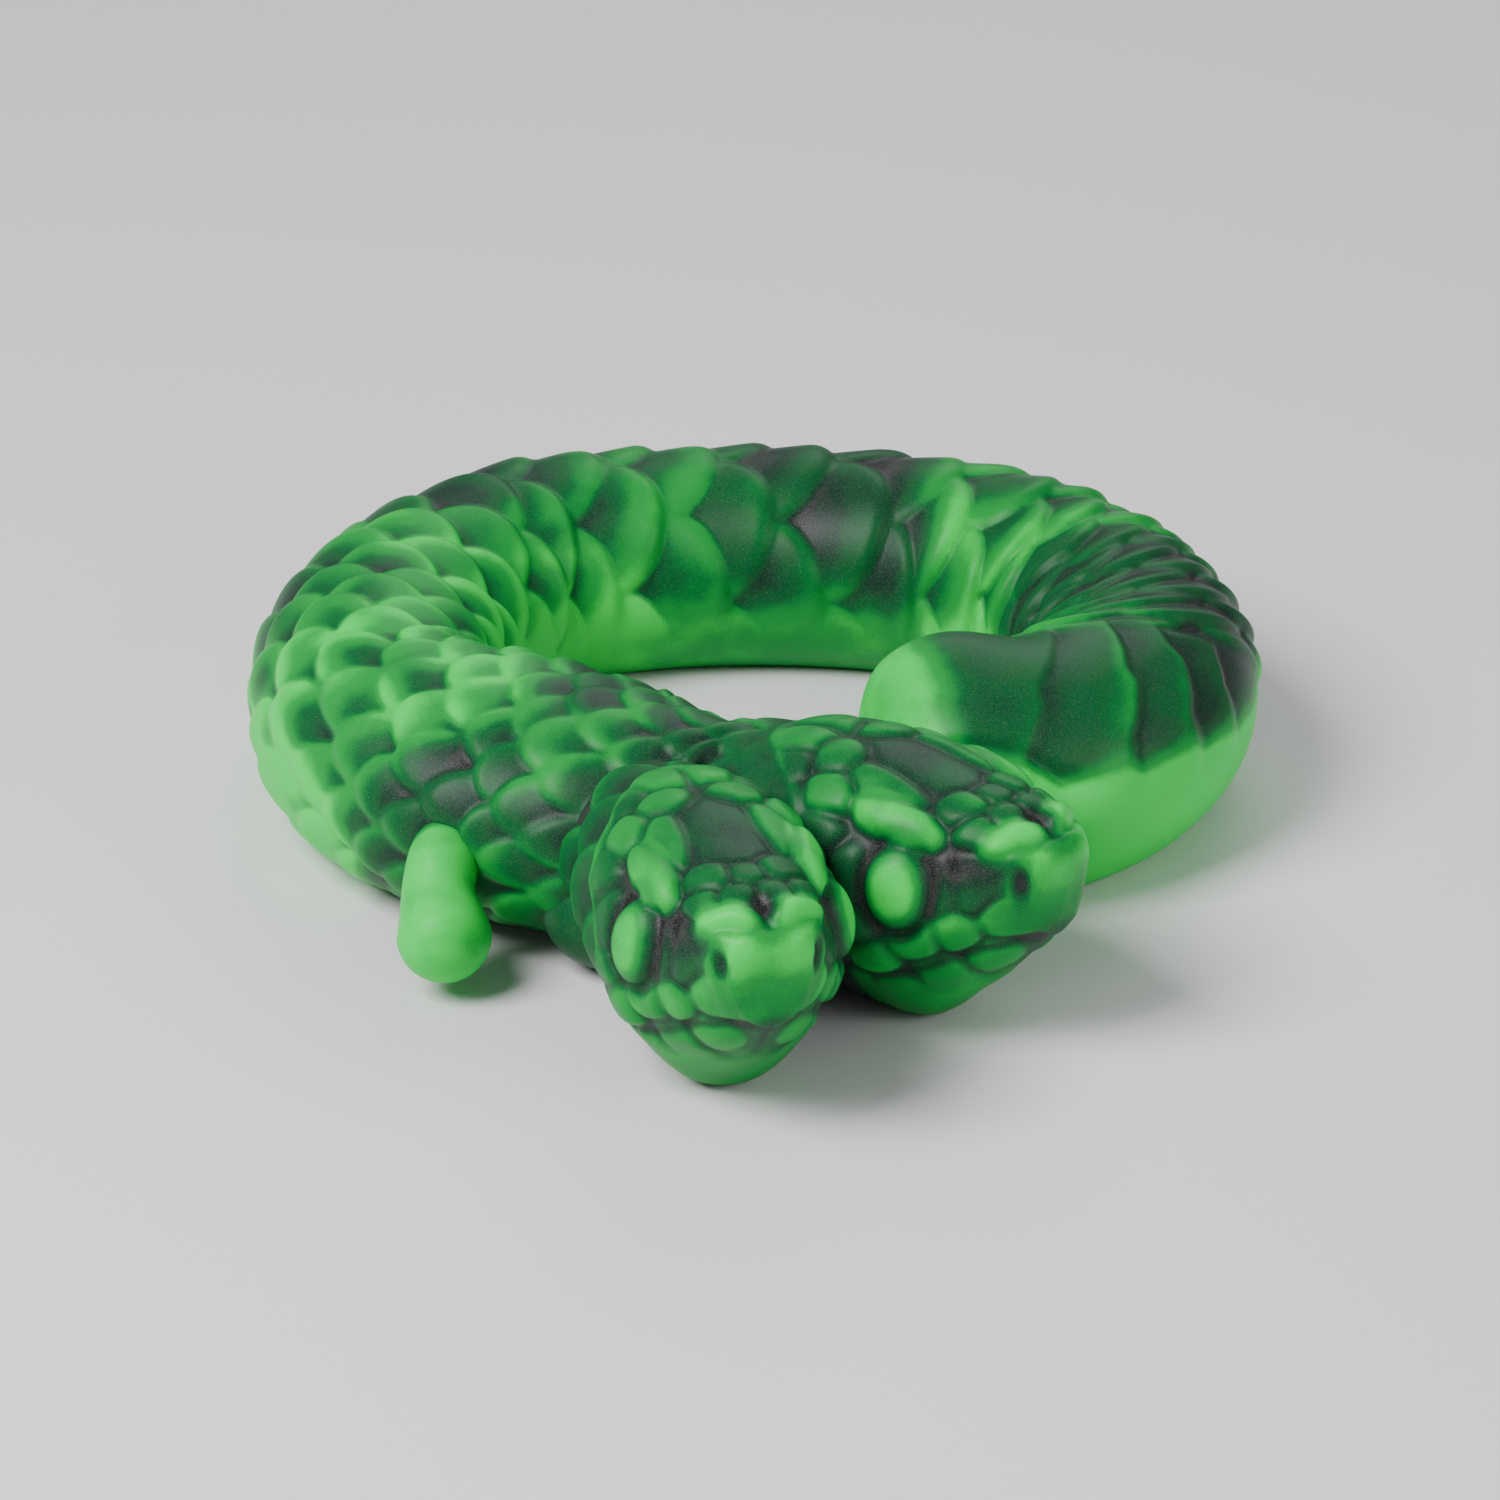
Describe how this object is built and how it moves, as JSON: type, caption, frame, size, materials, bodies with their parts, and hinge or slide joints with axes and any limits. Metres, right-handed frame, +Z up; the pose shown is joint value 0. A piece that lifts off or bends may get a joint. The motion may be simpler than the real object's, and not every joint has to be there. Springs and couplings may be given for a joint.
{
  "type": "double-headed snake ring",
  "caption": "Soft cast silicone snake with a double head, lying curled in a ring; the ring squeezes to an oval, the heads and the tail tip bend, and all of it springs back.",
  "frame": {"origin": "centre of the bounding box at the level of the flat underside", "axes": "+X to the right as seen from the heads' side, +Y from the heads towards the back of the ring, +Z up"},
  "size_m": [0.0884, 0.1104, 0.0228],
  "materials": {
    "marbled_silicone": "satin, marbled bright green and charcoal with a fine pearl grain",
    "bright_silicone": "satin bright green with a fine pearl grain"
  },
  "bodies": {
    "neck": {"front_left": "marbled_silicone", "neck_fork": "marbled_silicone", "tail_root": "bright_silicone", "left_bend": "marbled_silicone", "left_neck_rear_flex": "marbled_silicone", "right_neck_rear_flex": "marbled_silicone", "tail_flex": "bright_silicone"},
    "back_left": {"back_left": "marbled_silicone", "back_bend": "marbled_silicone"},
    "back_right": {"back_right": "marbled_silicone", "right_bend": "marbled_silicone"},
    "front_right": {"front_right": "marbled_silicone"},
    "left_neck": {"left_neck_middle": "marbled_silicone", "left_neck_front_flex": "marbled_silicone"},
    "left_head": {"left_head": "marbled_silicone"},
    "right_neck": {"right_neck_middle": "marbled_silicone", "right_neck_front_flex": "marbled_silicone"},
    "right_head": {"right_head": "marbled_silicone"},
    "tail_tip": {"tail_tip": "bright_silicone"}
  },
  "joints": [
    {"name": "ring_left_flex", "type": "hinge", "parent": "neck", "child": "back_left", "pos_m": [-0.03296, 0.01076, 0.0091], "axis": [0, 0, 1], "range_deg": [-10, 10], "stiffness_Nm_per_rad": 0.06, "deforming": ["left_bend"]},
    {"name": "ring_back_flex", "type": "hinge", "parent": "back_left", "child": "back_right", "pos_m": [-0.02116, 0.04035, 0.009], "axis": [0, 0, 1], "range_deg": [-10, 10], "deforming": ["back_bend"]},
    {"name": "ring_right_flex", "type": "hinge", "parent": "back_right", "child": "front_right", "pos_m": [0.0317, 0.02723, 0.0091], "axis": [0, 0, 1], "range_deg": [-10, 10], "deforming": ["right_bend"]},
    {"name": "left_head_sway", "type": "hinge", "parent": "neck", "child": "left_neck", "pos_m": [-0.00646, -0.02716, 0.01138], "axis": [0, 0, 1], "range_deg": [-12, 0], "stiffness_Nm_per_rad": 0.12, "deforming": ["left_neck_rear_flex"]},
    {"name": "left_head_lift", "type": "hinge", "parent": "left_neck", "child": "left_head", "pos_m": [-0.00545, -0.03072, 0.01154], "axis": [-0.9613, -0.2756, 0], "range_deg": [0, 15], "stiffness_Nm_per_rad": 0.12, "deforming": ["left_neck_front_flex"]},
    {"name": "right_head_sway", "type": "hinge", "parent": "neck", "child": "right_neck", "pos_m": [0.00375, -0.01848, 0.01138], "axis": [0, 0, 1], "range_deg": [0, 10], "stiffness_Nm_per_rad": 0.12, "deforming": ["right_neck_rear_flex"]},
    {"name": "right_head_lift", "type": "hinge", "parent": "right_neck", "child": "right_head", "pos_m": [0.00654, -0.02091, 0.01154], "axis": [-0.6561, -0.7547, 0], "range_deg": [0, 15], "stiffness_Nm_per_rad": 0.12, "deforming": ["right_neck_front_flex"]},
    {"name": "tail_tip_flex", "type": "hinge", "parent": "neck", "child": "tail_tip", "pos_m": [-0.02641, -0.02201, 0.0092], "axis": [0, 0, 1], "range_deg": [-15, 15], "stiffness_Nm_per_rad": 0.004, "deforming": ["tail_flex"]}
  ],
  "couplings": [
    {"joint": "ring_back_flex", "follows": "ring_left_flex", "ratio": -1},
    {"joint": "ring_right_flex", "follows": "ring_left_flex", "ratio": 1}
  ]
}
